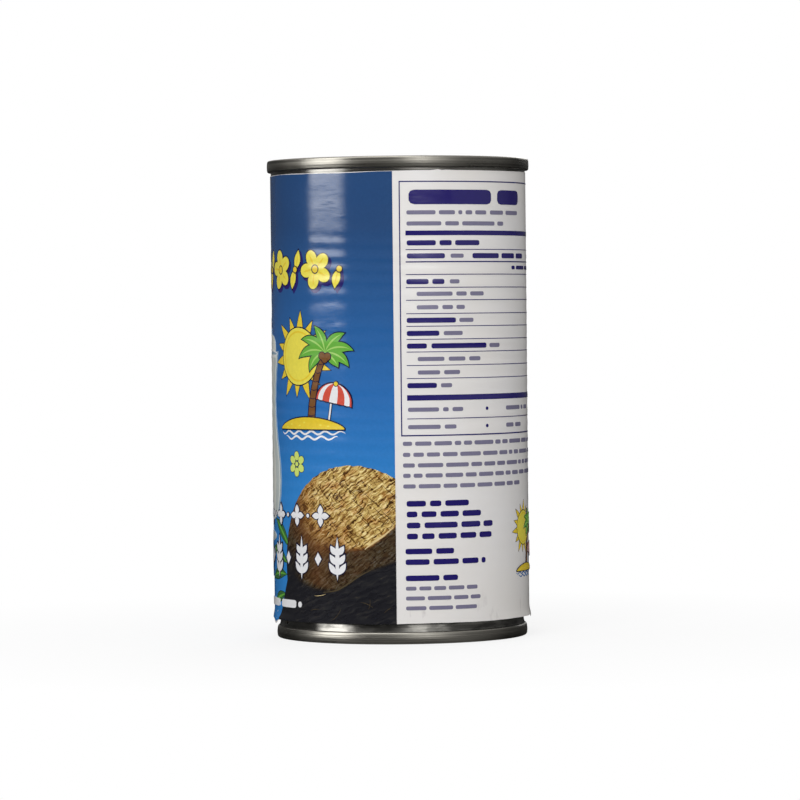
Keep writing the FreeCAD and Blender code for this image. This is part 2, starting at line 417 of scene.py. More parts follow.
def ribbon(s, z, half, lift, grow=0.0):
    """A band of the given half widths along a path: P(t) + N(t) half(t) v, for v from -1 to 1."""
    s, z, half = np.broadcast_arrays(*(np.asarray(part, float) for part in (s, z, half)))
    half = half + grow
    ds, dz = np.gradient(s), np.gradient(z)
    size = np.hypot(ds, dz)
    v = np.linspace(-1, 1, steps_for(2 * half.max(), 0.7, 3))[None, :]
    across, along = (dz / size * half)[:, None] * v, (ds / size * half)[:, None] * v
    return s[:, None] - across, z[:, None] + along, lift


def blade(s, z, aim, reach, half, bend, lift, grow=0.0, blunt=False):
    """A leaf from (s, z) that sets off at aim degrees and turns by bend over its reach.

    Its line is an arc of a circle and its half width is half sin(pi u), where a blunt one has its
    steps closer together at the ends, which makes them round.
    """
    longer = grow * (1.0 if blunt else 1.9)
    start, curl = math.radians(aim), math.radians(bend or 0.1)
    u = np.linspace(0, 1, steps_for(reach, 0.75, 9))
    along = 0.5 - 0.5 * np.cos(np.pi * u) if blunt else u
    length_now = along * (reach + 2 * longer) - longer
    swing = start + curl * length_now / reach
    path_s = s + reach * (np.sin(swing) - math.sin(start)) / curl
    path_z = z + reach * (math.cos(start) - np.cos(swing)) / curl
    return ribbon(path_s, path_z, (half + grow) * np.sin(np.pi * u) + 0.015, lift)


def through(points, count):
    """A smooth path through points: cubic pieces, each slope half the step between neighbours."""
    points = np.asarray(points, float)
    slopes = np.gradient(points, axis=0)
    place = np.linspace(0, len(points) - 1, count)
    left = np.minimum(place.astype(int), len(points) - 2)
    t = (place - left)[:, None]
    a, b, da, db = points[left], points[left + 1], slopes[left], slopes[left + 1]
    return a + da * t + (3 * (b - a) - 2 * da - db) * t ** 2 + (2 * (a - b) + da + db) * t ** 3


def between(low, high, s, lift, rows):
    """The field between two curves z = low(s) and z = high(s)."""
    v = np.linspace(0, 1, rows)[None, :]
    bottom, top = low(s)[:, None], high(s)[:, None]
    return np.repeat(s[:, None], rows, axis=1), bottom + (top - bottom) * v, lift


def layer(number):
    """Lift of a printed layer: each lies a little over the last, so that no two share a surface."""
    return 0.036 + 0.018 * number


class Plate:
    """Patches of a printed group, kept by ink, until each ink is made one piece."""

    def __init__(self, group):
        self.group = group
        self.patches = {}

    def add(self, ink_key, *patches):
        self.patches.setdefault(ink_key, []).extend(patches)

    def rimmed(self, ink_key, rim, number, shape, *sizes, rim_key="outline", **ends):
        """A shape in its ink over the same shape grown by rim in the outline's ink."""
        self.add(rim_key, shape(*sizes, layer(number), rim, **ends))
        self.add(ink_key, shape(*sizes, layer(number + 1), 0.0, **ends))

    def press(self):
        for ink_key, patches in self.patches.items():
            piece = skin(f"{self.group}_{ink_key}", patches, ink_of(ink_key))
            finish_piece(piece, "label_paper")


# ---------------------------------------------------------------- materials


def new_shader(name, **sockets):
    """A material with one Principled shader and the given sockets set."""
    material = bpy.data.materials.new(name)
    material.use_nodes = True
    tree = material.node_tree
    shader = tree.nodes["Principled BSDF"]
    for socket, value in sockets.items():
        shader.inputs[socket.replace("_", " ")].default_value = value
    return material, tree, shader


def node(tree, kind, inputs=None, **values):
    """A node with its settings, and each input linked to an output or set to a plain value."""
    made = tree.nodes.new("ShaderNode" + kind)
    for key, value in values.items():
        if key in made.inputs:
            made.inputs[key].default_value = value
        else:
            setattr(made, key, value)
    for key, value in (inputs or {}).items():
        socket = made.inputs[key]
        if isinstance(value, bpy.types.NodeSocket):
            tree.links.new(value, socket)
        else:
            socket.default_value = (*value, 1.0) if socket.type == "RGBA" else value
    return made


def worked(tree, operation, *terms):
    """One operation on numbers."""
    return node(tree, "Math", dict(enumerate(terms)), operation=operation).outputs[0]


def worked_vector(tree, operation, *terms):
    """One operation on vectors: its outputs, Vector and Value."""
    return node(tree, "VectorMath", dict(enumerate(terms)), operation=operation).outputs


def placed(tree, scale=(1, 1, 1), source="Object"):
    """Texture coordinates stretched by scale."""
    coordinates = tree.nodes.new("ShaderNodeTexCoord").outputs[source]
    return node(tree, "Mapping", {"Vector": coordinates}, Scale=scale).outputs["Vector"]


def parts_of(tree, vector):
    return node(tree, "SeparateXYZ", {"Vector": vector}).outputs


def noise_at(tree, vector, detail=2.0, roughness=0.5):
    made = node(tree, "TexNoise", {"Vector": vector}, Scale=1.0, Detail=detail, Roughness=roughness)
    return made.outputs["Fac"]


def noise(tree, scale, detail=2.0, roughness=0.5, source="Object"):
    """Noise whose grain is 1 / scale metres long in each direction."""
    return noise_at(tree, placed(tree, scale, source), detail, roughness)


def ranged(tree, value, low, high, start=0.0, end=1.0):
    """value from start..end to low..high, held at the ends."""
    sockets = {"Value": value, "From Min": start, "From Max": end, "To Min": low, "To Max": high}
    return node(tree, "MapRange", sockets).outputs["Result"]


def mixed(tree, share, first, second, blend="MIX"):
    """A colour mix. Either colour may be an output or a plain colour."""
    sockets = {0: share, 6: first, 7: second}
    return node(tree, "Mix", sockets, data_type="RGBA", blend_type=blend).outputs[2]


def ramp(tree, value, stops):
    """A colour ramp through (place, colour) stops."""
    made = node(tree, "ValToRGB", {"Fac": value})
    elements = made.color_ramp.elements
    while len(elements) < len(stops):
        elements.new(1.0)
    for element, (place, shade) in zip(elements, stops):
        element.position = place
        element.color = (*shade, 1.0)
    return made.outputs["Color"]


def times(shade, share):
    return tuple(value * share for value in shade)


def varnish(tree, shader):
    """The varnished paper's relief: short ripples that lie level round the can, and faint pulp."""
    patches = ranged(tree, noise(tree, (200, 200, 260), detail=1), 0.1, 1.1, 0.35, 0.65)
    ridges = worked(tree, "MULTIPLY", noise(tree, (150, 150, 620), detail=3), patches)
    rough = ranged(tree, noise(tree, (60, 60, 260)), 0.09, 0.17, 0.3, 0.7)
    tree.links.new(rough, shader.inputs["Roughness"])
    rippled = node(tree, "Bump", {"Height": ridges}, Strength=1.0, Distance=0.000026)
    pulp = {"Height": noise(tree, (900, 900, 900)), "Normal": rippled.outputs["Normal"]}
    relief = node(tree, "Bump", pulp, Strength=1.0, Distance=0.000004)
    tree.links.new(relief.outputs["Normal"], shader.inputs["Normal"])


def ink_of(key):
    """Flat printing ink under the varnish, uneven where it lies on the pulp. Each is made once."""
    name = f"{key}_ink"
    if name in bpy.data.materials:
        return bpy.data.materials[name]
    shade = tuple(getattr(settings("can_inks"), key))
    mottle = 0.025
    material, tree, shader = new_shader(name)
    spots = ranged(tree, noise(tree, (1200, 1200, 1200)), 0.0, 1.0, 0.3, 0.7)
    darker = times(shade, (1 - mottle) ** 2)
    lighter = tuple(min(1.0, value) for value in times(shade, 1 + mottle))
    tree.links.new(mixed(tree, spots, darker, lighter), shader.inputs["Base Color"])
    varnish(tree, shader)
    return material


def blue_field_ink():
    """The blue panel, deeper at the head."""
    inks = settings("can_inks")
    material, tree, shader = new_shader("blue_field_ink")
    height = parts_of(tree, placed(tree))["Z"]
    share = ranged(tree, height, 0.0, 1.0, LABEL_FOOT * MM, LABEL_HEAD * MM)
    head, middle, foot = tuple(inks.blue_head), tuple(inks.blue_middle), tuple(inks.blue_foot)
    shoulder = tuple(0.62 * a + 0.38 * b for a, b in zip(head, middle))
    base = ramp(tree, share, [
        (0.0, foot), (0.28, foot), (0.5, middle), (0.72, shoulder), (0.88, head), (1.0, head)])
    spots = ranged(tree, noise(tree, (1400, 1400, 1400)), 0.97, 1.03, 0.3, 0.7)
    toned = worked_vector(tree, "MULTIPLY", base, spots)["Vector"]
    tree.links.new(toned, shader.inputs["Base Color"])
    varnish(tree, shader)
    return material


def paper_stock():
    """White coated paper, a little warmer in its cloudy patches and scuffed near the foot."""
    white = tuple(settings("can_inks").paper_white)
    material, tree, shader = new_shader("label_paper")
    cloud = ranged(tree, noise(tree, (45, 45, 45), detail=4), 0, 1, 0.35, 0.7)
    warm = tuple(value * share for value, share in zip(white, (0.985, 0.97, 0.94)))
    clean = mixed(tree, cloud, white, warm)
    marks = ranged(tree, noise(tree, (330, 330, 120), detail=4, roughness=0.6), 0, 0.4, 0.58, 0.7)
    low_down = ranged(tree, parts_of(tree, placed(tree))["Z"], 1, 0, 0.007, 0.014)
    scuffed = worked(tree, "MULTIPLY", marks, low_down)
    tree.links.new(mixed(tree, scuffed, clean, tone(168, 160, 162)), shader.inputs["Base Color"])
    varnish(tree, shader)
    return material


def tinplate(name, shade, roughness, streaks, panel_shade=None):
    """Rolled tinplate, streaked level round the can, with duller patches.

    panel_shade is the cleaner metal inside an end's seam, where the streaks run straight across the
    sheet. Without it the metal is a wall's, with painted shade and grime in patches at its foot.
    """
    material, tree, shader = new_shader(name, Metallic=1.0)
    streak = noise(tree, (14, 14, 2600), detail=4, roughness=0.6)
    shown = mixed(tree, ranged(tree, streak, 0, 1, 0.35, 0.65), times(shade, 0.6), shade)
    patch = noise(tree, (90, 90, 160), detail=3)
    dull = ranged(tree, patch, roughness - 0.06, roughness + 0.06, 0.3, 0.7)
    if panel_shade:
        away = worked_vector(tree, "LENGTH", placed(tree, (1, 1, 0)))["Value"]
        inside = ranged(tree, away, 1.0, 0.0, (BOTTOM_R - 2.4) * MM, (BOTTOM_R - 1.2) * MM)
        rolled = noise(tree, (22, 1700, 22), detail=4, roughness=0.6)
        lines = ranged(tree, rolled, 0, 1, 0.35, 0.65)
        sheet = mixed(tree, lines, times(panel_shade, 0.78), panel_shade)
        shown = mixed(tree, inside, shown, sheet)
        streak = node(tree, "Mix", {0: inside, 2: streak, 3: rolled}).outputs[0]
        dull = worked(tree, "SUBTRACT", dull, ranged(tree, inside, 0.0, 0.14))
    else:
        # Painted shade: near its foot, under the label's overhang, the wall's colour is darkened in
        # patches, which also stand for grime.
        low_down = ranged(tree, parts_of(tree, placed(tree))["Z"], 1, 0, 0.012, 0.03)
        grime_and_shade = ranged(tree, noise(tree, (240, 240, 900), detail=3), 0.45, 0.95, 0.38, 0.56)
        grimy_and_shaded = worked_vector(tree, "MULTIPLY", shown, grime_and_shade)["Vector"]
        shown = mixed(tree, low_down, shown, grimy_and_shaded)
    tree.links.new(shown, shader.inputs["Base Color"])
    rough = worked(tree, "ADD", ranged(tree, streak, -0.05, 0.05, 0.3, 0.7), dull)
    tree.links.new(rough, shader.inputs["Roughness"])
    bump = node(tree, "Bump", {"Height": streak}, Strength=streaks, Distance=0.00005)
    tree.links.new(bump.outputs["Normal"], shader.inputs["Normal"])
    return material


# ---------------------------------------------------------------- metal


def end_profile(radius, back, band, hook, hook_tall):
    """(radius, depth below the rim) of an end with its seam, from its back's centre to its panel's.

    The seam's free edge is a quarter of an ellipse, hook wide and hook_tall high.
    """
    metal = settings("can_metal")
    crown = in_mm(metal.crown_round)
    inner = radius - in_mm(metal.seam_thickness)
    chuck, sink = inner - 0.25, in_mm(metal.sink_round)
    floor, panel = in_mm(metal.sink_depth), in_mm(metal.panel_depth)
    edge = chuck - 2 * sink
    plug = radius - 1.3
    depth = np.linspace(band - hook_tall, 1.6 * crown, 40)
    along = (depth - 1.6 * crown) / (band - hook_tall - 1.6 * crown)
    crease = 0.012 * bump_at(depth, band - 0.8, 0.2)
    barrel = 0.08 * (1 - along) ** 2 + 0.09 * along ** 3
    outside = np.stack([radius - crease - barrel, depth], axis=-1)
    corner = outside[-1, 0] - crown, 1.6 * crown
    shoulder = arc((0, 0), 1, 0, -90, 12) * (crown, 1.6 * crown) + corner
    rows = [
        [[0, back], [plug - 6, back], [plug, back], [plug, band]],
        arc((0, 0), 1, 90, 0, 12) * (hook, hook_tall) + (outside[0, 0] - hook, band - hook_tall),
        outside[1:],
        shoulder[1:],
        arc((inner + 0.4, 0.55), 0.4, -105, -180),
        arc((chuck - sink, floor - sink), sink, 0, 180, 14),
        arc((edge - 0.5, panel + 0.5), 0.5, 0, -90),
    ]
    start = edge - 0.5 - 2.0
    for ring in range(3):
        across = np.linspace(0, 1, 13)
        high = in_mm(metal.ring_rise) * np.sin(np.pi * across) ** 1.4
        left = start - ring * in_mm(metal.ring_pitch)
        rows.append(np.stack([left - across * in_mm(metal.ring_width), panel - high], axis=-1))
    rows.append([[4, panel], [0, panel]])
    return np.vstack([np.asarray(row, float) for row in rows])


def seam_waver(angle, z):
    """The seaming rolls leave the band a few hundredths uneven."""
    return 0.018 * np.sin(5 * angle + 0.4) + 0.012 * np.sin(13 * angle + 2) + 0 * z


def wall_profile():
    """(radius, height) of the wall with its neck, shoulder and beads, closed flat at the ends."""
    metal = settings("can_metal")
    neck = BOTTOM_R - (TOP_R - WALL_R)
    foot = LABEL_FOOT - 0.2
    rise = 2 * (WALL_R - neck)
    bend = ((WALL_R - neck) ** 2 + rise ** 2) / (4 * (WALL_R - neck))
    lean = math.degrees(math.asin(rise / 2 / bend))
    rise_in = np.linspace(LABEL_FOOT + 0.1 - WALL_FOOT, 0, 10)
    half = in_mm(metal.bead_pitch) * metal.bead_total / 2
    middle = CAN_HEIGHT / 2
    z = np.linspace(middle - half, middle + half, metal.bead_total * 8 + 1)
    swing = 0.5 - 0.5 * np.cos(TURN * (z - z[0]) / in_mm(metal.bead_pitch))
    beads = WALL_R - in_mm(metal.bead_depth) * swing
    return np.vstack([
        [[0, BOTTOM_BACK], [neck - 0.25, BOTTOM_BACK], [neck - 0.25, WALL_FOOT]],
        np.stack([neck - 0.06 + 0.35 * (rise_in / 2) ** 1.5, LABEL_FOOT + 0.1 - rise_in], axis=-1),
        arc((neck + bend, foot + 0.3), bend, 180, 180 - lean)[1:],
        arc((WALL_R - bend, foot + rise), bend, -lean, 0)[1:],
        np.stack([beads, z], axis=-1),
        [[WALL_R, WALL_HEAD], [WALL_R - 0.25, WALL_HEAD], [WALL_R - 0.25, TOP_BACK], [0, TOP_BACK]],
    ])


class CAN_OT_metal(bpy.types.Operator):
    """Make the wall and both ends in tinplate"""

    bl_idname = "can.metal"
    bl_label = "Tinplate wall and ends"

    def execute(self, context):
        metal = settings("can_metal")
        bright = tinplate("wall_tinplate", tuple(metal.wall_tin), 0.18, 0.25)
        worn = tinplate("seam_tinplate", tuple(metal.seam_tin), 0.32, 0.8, tuple(metal.tin))
        finish_piece(turned("can_wall", wall_profile(), bright), "tinplate_wall", "can_body")
        hook = in_mm(metal.hook_round)
        top = end_profile(TOP_R, CAN_HEIGHT - TOP_BACK, CAN_HEIGHT - WALL_HEAD, hook, hook)
        top[:, 1] = CAN_HEIGHT - top[:, 1]
        finish_piece(turned("top_end_metal", top, worn, seam_waver), "tinplate_end", "top_end")
        bottom = end_profile(BOTTOM_R, BOTTOM_BACK, WALL_FOOT, 1.4 * hook, in_mm(metal.bottom_hook))
        end = turned("bottom_end_metal", bottom, worn, seam_waver)
        finish_piece(end, "tinplate_end", "bottom_end")
        return {"FINISHED"}


# ---------------------------------------------------------------- label


PANEL_EDGE = -1.42
LIFT_FIELD = 0.014
ROW_PITCH = 0.62


def blue_foot(s):
    """Lower edge of the blue: just inside the paper's edge, further at the torn flap."""
    return label_foot(s) + 0.02 + 0.75 * bump_at(s, -45.0, 1.6)


def blue_head(s):
    """Upper edge of the blue: a hair of bare paper is left."""
    return label_head(s) - 0.13 - 0.05 * np.sin(s * 0.37)


class CAN_OT_label(bpy.types.Operator):
    """Wrap the paper round the can, its ends lapped at the back, and print the blue panel"""

    bl_idname = "can.label"
    bl_label = "Paper label and blue panel"

    def execute(self, context):
        sizes = settings("can_label")
        start = -HALF_ROUND - in_mm(sizes.lap)
        rows = steps_for(LABEL_HEAD - LABEL_FOOT, ROW_PITCH)
        across = np.linspace(start, HALF_ROUND, steps_for(HALF_ROUND - start, 1.1))
        sheet = between(label_foot, label_head, across, 0.0, rows)
        sleeve = skin("label_sleeve", [sheet], paper_stock(), root=in_mm(sizes.paper))
        finish_piece(sleeve, "label_paper", "label")
        across = np.linspace(start + 0.4, PANEL_EDGE, steps_for(PANEL_EDGE - start, 1.05))
        field = between(blue_foot, blue_head, across, LIFT_FIELD, rows)
        finish_piece(skin("blue_panel", [field], blue_field_ink()), "label_paper")
        return {"FINISHED"}


# ---------------------------------------------------------------- facts panel


BOLD = 1.3
LIGHT = 1.05
FACTS_RULES = (100.0, 93.7, 90.4, 87.2, 83.8, 80.6, 77.3, 74.1, 70.7, 67.4, 57.2)
FACTS_WORDS = (  # ink, height, and for each row its middle and then where each word starts and ends
    ("navy", 3.7, ((113.3, 2.7, 26.4, 28.8, 39.5),)),
    ("navy", BOLD, (
        (101.7, 2.1, 9.6, 10.6, 13.9, 14.9, 22.2),
        (98.4, 2.1, 12.0, 20.0, 29.2, 30.4, 36.6, 37.8, 42.6))),
    ("navy", 0.95, ((95.4, 35.2, 37.0, 37.9, 44.0, 45.0, 51.5),)),
    ("navy", BOLD, (
        (91.9, 1.9, 7.6, 8.6, 11.8), (82.1, 1.9, 14.9), (78.8, 1.9, 10.3),
        (75.6, 1.9, 7.0, 8.2, 24.3),
        (65.6, 1.9, 9.5), (91.9, 54.2, 57.9), (88.8, 53.4, 57.9), (82.1, 54.2, 57.9),
        (78.8, 54.2, 57.9), (75.6, 54.2, 57.9), (72.3, 54.2, 57.9))),
    ("tint", LIGHT, (
        (109.4, 2.1, 9.6, 10.5, 14.9, 15.9, 17.0, 18.0, 20.0, 21.0, 24.6, 26.0, 31.2, 32.4, 38.8),
        (106.6, 2.1, 11.1, 12.2, 16.0, 17.0, 27.6, 28.8, 31.2),
        (98.4, 13.6, 17.3, 51.0, 57.4), (91.9, 13.3, 16.0),
        (88.8, 4.5, 14.0, 15.1, 18.1, 19.2, 23.5),
        (85.4, 4.5, 10.1, 11.2, 14.1, 15.1, 17.5), (82.1, 15.9, 20.1), (78.8, 11.5, 16.8),
        (75.6, 25.4, 29.2), (72.3, 4.6, 11.6, 12.8, 17.5, 18.7, 22.2),
        (68.9, 4.6, 10.4, 11.5, 15.9),
        (65.6, 10.6, 13.6),
        (59.5, 2.0, 10.0, 11.1, 12.6, 13.7, 16.7, 31.8, 39.4, 40.4, 41.8, 42.8, 46.4),
        (55.1, 2.0, 10.4, 11.5, 14.7, 31.8, 35.4, 36.4, 40.0))),
)


class CAN_OT_facts(bpy.types.Operator):
    """Print the ruled table, with a bar for each word"""

    bl_idname = "can.facts"
    bl_label = "Facts table"

    def execute(self, context):
        plate = Plate("facts")
        left, right, head, foot = 0.2, 60.0, 117.38, 53.1
        thin, inner, outer = 0.29, 1.8, 59.2
        rules = [
            (left, right, head - thin, head), (left, right, foot - 0.32, foot),
            (left, left + thin, foot, head), (right - thin, right, foot, head),
            (inner, outer, 103.6, 104.8), (inner, outer, 61.8, 63.2), (inner, outer, 96.75, 97.05),
        ]
        rules += [(inner, outer, z - 0.095, z + 0.095) for z in FACTS_RULES]
        plate.add("navy", *[box_patch(*rule, layer(1)) for rule in rules])
        for ink_key, high, rows in FACTS_WORDS:
            for z, *ends in rows:
                for s0, s1 in zip(ends[::2], ends[1::2]):
                    plate.add(ink_key, word(s0, s1, z, high, layer(1)))
        plate.add("navy", *[oval(24.3, z, 0.45, 0.45, layer(1)) for z in (59.5, 55.1)])
        plate.press()
        return {"FINISHED"}


def running_words(random, s0, s1, z, high):
    """Words of a line from s0 to s1, of random length, 0.75 of their height apart."""
    space = high * 0.75
    ends = s0 + np.cumsum(random.uniform(1.6, 6.4, size=40) * high + space)
    starts = np.concatenate([[s0], ends[:-1]])
    stops = np.minimum(ends - space, s1)
    keep = stops - starts > high * 0.9
    return [word(a, b, z, high, layer(1)) for a, b in zip(starts[keep], stops[keep])]


SMALL_LINES = (  # ink, height, and for each line its start, end and middle
    ("tint", 1.05, (
        (0.6, 59.5, 50.9), (0.6, 59.5, 48.1), (0.6, 59.5, 45.4), (0.6, 57.0, 42.8),
        (0.6, 38.8, 40.1))),
    ("navy", 1.45, ((1.4, 20.3, 35.7), (1.4, 21.8, 33.0), (1.4, 25.8, 30.2), (1.4, 25.4, 27.4))),
    ("navy", 1.4, ((1.0, 13.7, 23.6), (1.0, 23.2, 20.9), (1.0, 14.7, 16.8))),
    ("tint", 1.0, ((1.0, 20.6, 14.2), (1.0, 21.4, 11.7), (1.0, 21.2, 9.2))),
)


class CAN_OT_small_print(bpy.types.Operator):
    """Print the greeked lines below the table"""

    bl_idname = "can.small_print"
    bl_label = "Small print"

    def execute(self, context):
        random = np.random.default_rng(11)
        plate = Plate("small_print")
        for ink_key, high, lines in SMALL_LINES:
            for line in lines:
                plate.add(ink_key, *running_words(random, *line, high))
        plate.press()
        return {"FINISHED"}


class CAN_OT_recipe(bpy.types.Operator):
    """Print the panel at the right of the table: a heading bar, greeked lines and two glasses"""

    bl_idname = "can.recipe"
    bl_label = "Recipe panel"

    def execute(self, context):
        random = np.random.default_rng(5)
        plate = Plate("recipe")
        left, right, heading = 63.4, 92.2, 112.4
        columns = (left, left + 13.2), (left + 15.6, right)
        plate.add("blue", word(left, right, heading, 6.4, layer(1)))
        for centre in np.linspace(left + 3.6, right - 3.6, 6):
            plate.add("yellow", diamond(centre, heading, 1.5, 1.9, layer(2)))
        for z in np.arange(105.6, 72, -2.9):
            last = right if random.random() > 0.3 else left + random.uniform(10, 22)
            plate.add("tint", *running_words(random, left, last, z, 1.05))
        plate.add("navy", box_patch(left, right, 70.2, 70.4, layer(1)))
        for centre in (left + 7.4, right - 6.2):
            glass(plate, centre, 50.2, 0.42, 1)
        plate.add("navy", *[word(*column, 44.6, 1.5, layer(1)) for column in columns])
        for z in np.arange(41.4, 26, -2.7):
            for column in columns:
                plate.add("tint", *running_words(random, *column, z, 1.0))
        plate.add("blue", word(left, right, 20.2, 1.0, layer(1)))
        for centre in np.linspace(left + 4.5, right - 4.5, 3):
            flower(plate, centre, 13.4, 3.6, 1)
        plate.press()
        return {"FINISHED"}


# ---------------------------------------------------------------- ornament


def towards(s, z, aim, reach):
    """The point that lies reach from (s, z) at aim degrees."""
    return s + reach * math.cos(math.radians(aim)), z + reach * math.sin(math.radians(aim))


def flower(plate, s, z, reach, number, tilt=0, shade=0.0):
    """Five blunt outlined petals from a heart, each veined; shade drops a copy down and right."""
    for petal in range(5):
        aim = 90 + tilt + 72 * petal
        root = towards(s, z, aim, 0.16 * reach)
        form = aim, 0.84 * reach, 0.345 * reach, 0
        if shade:
            below = root[0] + shade, root[1] - shade
            plate.add("navy", blade(*below, *form, layer(number), 0.3, blunt=True))
        plate.rimmed("yellow", 0.3, number + 1, blade, *root, *form, blunt=True)
        plate.add("gold", blade(*root, aim, 0.62 * reach, 0.05 * reach, 8, layer(number + 3)))
    plate.add("outline", oval(s, z, 0.235 * reach, 0.235 * reach, layer(number + 4)))
    plate.add("gold", oval(s, z, 0.18 * reach, 0.18 * reach, layer(number + 5)))


class CAN_OT_garland(bpy.types.Operator):
    """Print the row of yellow flowers and leaves across the blue panel"""

    bl_idname = "can.garland"
    bl_label = "Flower garland"

    def execute(self, context):
        plate = Plate("garland")
        middle, height, pitch, reach, shade = -53.1, 95.4, 15.0, 5.15, 0.75
        for place in range(-2, 3):
            flower(plate, middle + place * pitch, height, reach, 0, 12 * place, shade)
        for place in (-2.5, -1.5, -0.5, 0.5, 1.5, 2.5):
            centre = middle + place * pitch
            for aim in {-2.5: (62,), 2.5: (242,)}.get(place, (62, 242)):
                leaf = aim, 5.2, 1.15, 24
                plate.add("navy", blade(centre + shade, height - shade, *leaf, layer(0), 0.3))
                plate.rimmed("yellow", 0.28, 1, blade, centre, height, *leaf)
                plate.add("gold", blade(centre, height, aim, 4.2, 0.16, 20, layer(3)))
            plate.rimmed("gold", 0.28, 4, oval, centre, height, 0.75, 0.75)
        plate.press()
        return {"FINISHED"}


PALM_LEAVES = (  # aim, bend, reach
    (158, 62, 9.6), (128, 58, 9.0), (96, 40, 7.6), (64, -48, 7.8), (34, -62, 8.6), (4, -64, 8.2),
    (190, 66, 7.4), (-24, -40, 5.6))


def island(plate, s, z, scale, number, sea):
    """A palm, a striped parasol and the sun over a sand bank, the bank's middle at (s, z)."""

    def at(x, y):
        return s + x * scale, z + y * scale

    def disc(x, y, half_x, half_y):
        return *at(x, y), half_x * scale, half_y * scale

    def rimmed(ink_key, rim, step, shape, *sizes):
        plate.rimmed(ink_key, rim * max(scale, 0.62), number + step, shape, *sizes)

    sun, crown = (-3.4, 18.6), at(6.1, 19.6)
    for ray in range(14):
        reach = 11.6 if ray % 2 else 10.4
        aim = 8 + ray * 360 / 14
        rimmed("gold", 0.24, 0, blade, *at(*sun), aim, reach * scale, 1.25 * scale, 0)
    rimmed("yellow", 0.3, 2, oval, *disc(*sun, 7.3, 7.3))
    plate.add("gold", hoop(*disc(*sun, 6.5, 6.5), 0.45 * scale, layer(number + 4)))

    trunk = through([at(1.2, 1.5), at(1.9, 7.5), at(3.4, 13.5), crown], 26)
    waist = np.linspace(1.15, 0.62, 26) * scale
    rimmed("brown", 0.3, 4, ribbon, *trunk.T, waist)
    for knot in range(3, 24, 3):
        (x, y), half = trunk[knot], waist[knot]
        plate.add("outline", ribbon(
            [x - half, x, x + half], [y, y - 0.25 * scale, y], 0.09 * scale, layer(number + 6)))
    for aim, bend, reach in PALM_LEAVES:
        rimmed("green", 0.26, 6, blade, *crown, aim, reach * scale, 1.3 * scale, bend)
        rib = aim, reach * 0.86 * scale, 0.22 * scale, bend * 0.86
        plate.add("leaf_light", blade(*crown, *rib, layer(number + 8)))
    for x, y in ((5.2, 18.7), (6.9, 18.5), (6.05, 17.9)):
        rimmed("brown", 0.22, 9, oval, *disc(x, y, 0.95, 0.95))

    lean, top, radius, high = 0.2, (8.4, 10.6), 5.2, 4.6
    pole = through([at(top[0] - 1.4, 1.5), at(top[0] - 0.7, 6.0), at(*top)], 12)
    rimmed("white", 0.2, 6, ribbon, *pole.T, 0.24 * scale)

    def gore(left, right, lift, spread=0.0):
        """A strip of a dome from the side: radius a sin(q) across, high cos(q) up."""
        a = np.linspace(left, right, steps_for((right - left) * radius * scale, 0.8))[:, None]
        q = np.linspace(0.05, 1.0, 9)[None, :] * math.pi / 2
        hem = q > 1.5
        x = (radius + spread) * a * np.sin(q)
        y = (high + spread) * np.cos(q) - spread * 0.9 * hem
        scallop = 0.35 * np.abs(np.sin(a * math.pi * 3.5)) * hem
        x, y = x + lean * y, y - lean * x - scallop
        return s + (top[0] + x) * scale, z + (top[1] - 3.6 + y) * scale, lift

    plate.add("outline", gore(-1, 1, layer(number + 8), 0.3 * max(scale, 0.62) / scale * 1.2))
    cuts = np.sin(np.linspace(-0.5, 0.5, 8) * math.pi)
    for strip in range(7):
        ink_key = "white" if strip % 2 else "red"
        plate.add(ink_key, gore(cuts[strip], cuts[strip + 1], layer(number + 9)))
    rimmed("gold", 0.2, 10, oval, *disc(top[0] + lean * high, top[1] - 3.6 + high, 0.55, 0.55))

    def bank(lift, grow):
        """Sand, its crest falling from the middle as (1 - (x / half width)^2)^0.7."""
        line = np.linspace(-11.6 * scale - grow, 11.6 * scale + grow, steps_for(24 * scale, 0.8))
        crest = 3.0 * scale * np.clip(1 - (line / (11.9 * scale)) ** 2, 0.004, 1) ** 0.7 + grow
        across = s + line
        return between(
            lambda x: z - grow + 0 * x, lambda x: z + np.interp(x, across, crest), across, lift, 5)

    rimmed("gold", 0.3, 10, bank)
    for x, y in ((-6.5, 1.2), (-3.0, 0.9), (4.5, 1.1), (-8.4, 0.5), (6.9, 0.8), (-1.2, 1.7)):
        plate.add("yellow", oval(*disc(x, y, 0.42, 0.2), layer(number + 12)))
    for row, (y, reach) in enumerate(((-0.9, 11.8), (-2.2, 9.6))):
        x = np.linspace(-reach, reach, steps_for(2 * reach * scale, 0.45))
        wave = y + 0.42 * np.sin(x * 1.35 + row * 1.6)
        half = 0.26 * scale * np.sqrt(np.clip(1 - (x / reach) ** 4, 0.02, 1))
        plate.add(sea, ribbon(*at(x, wave), half, layer(number)))


class CAN_OT_island(bpy.types.Operator):
    """Print the island picture on the blue panel, and small on the white one"""

    bl_idname = "can.island"
    bl_label = "Island picture"

    def execute(self, context):
        for group, *place, sea in (
                ("island", -26.2, 54.6, 1.0, 0, "white"),
                ("small_island", 43.4, 17.2, 0.6, 0, "blue")):
            plate = Plate(group)
            island(plate, *place, sea)
            plate.press()
        return {"FINISHED"}


class CAN_OT_blossom(bpy.types.Operator):
    """Print the small blossom below the island"""

    bl_idname = "can.blossom"
    bl_label = "Small blossom"

    def execute(self, context):
        plate = Plate("blossom")
        s, z = -30.9, 45.6
        for aim in range(30, 390, 60):
            petal = *towards(s, z, aim, 0.9), aim, 2.35, 0.95, 0
            plate.rimmed("lime", 0.16, 0, blade, *petal, blunt=True)
        plate.rimmed("lime", 0.16, 2, oval, s, z, 0.62, 0.62)
        plate.press()
        return {"FINISHED"}


# ---------------------------------------------------------------- glasses


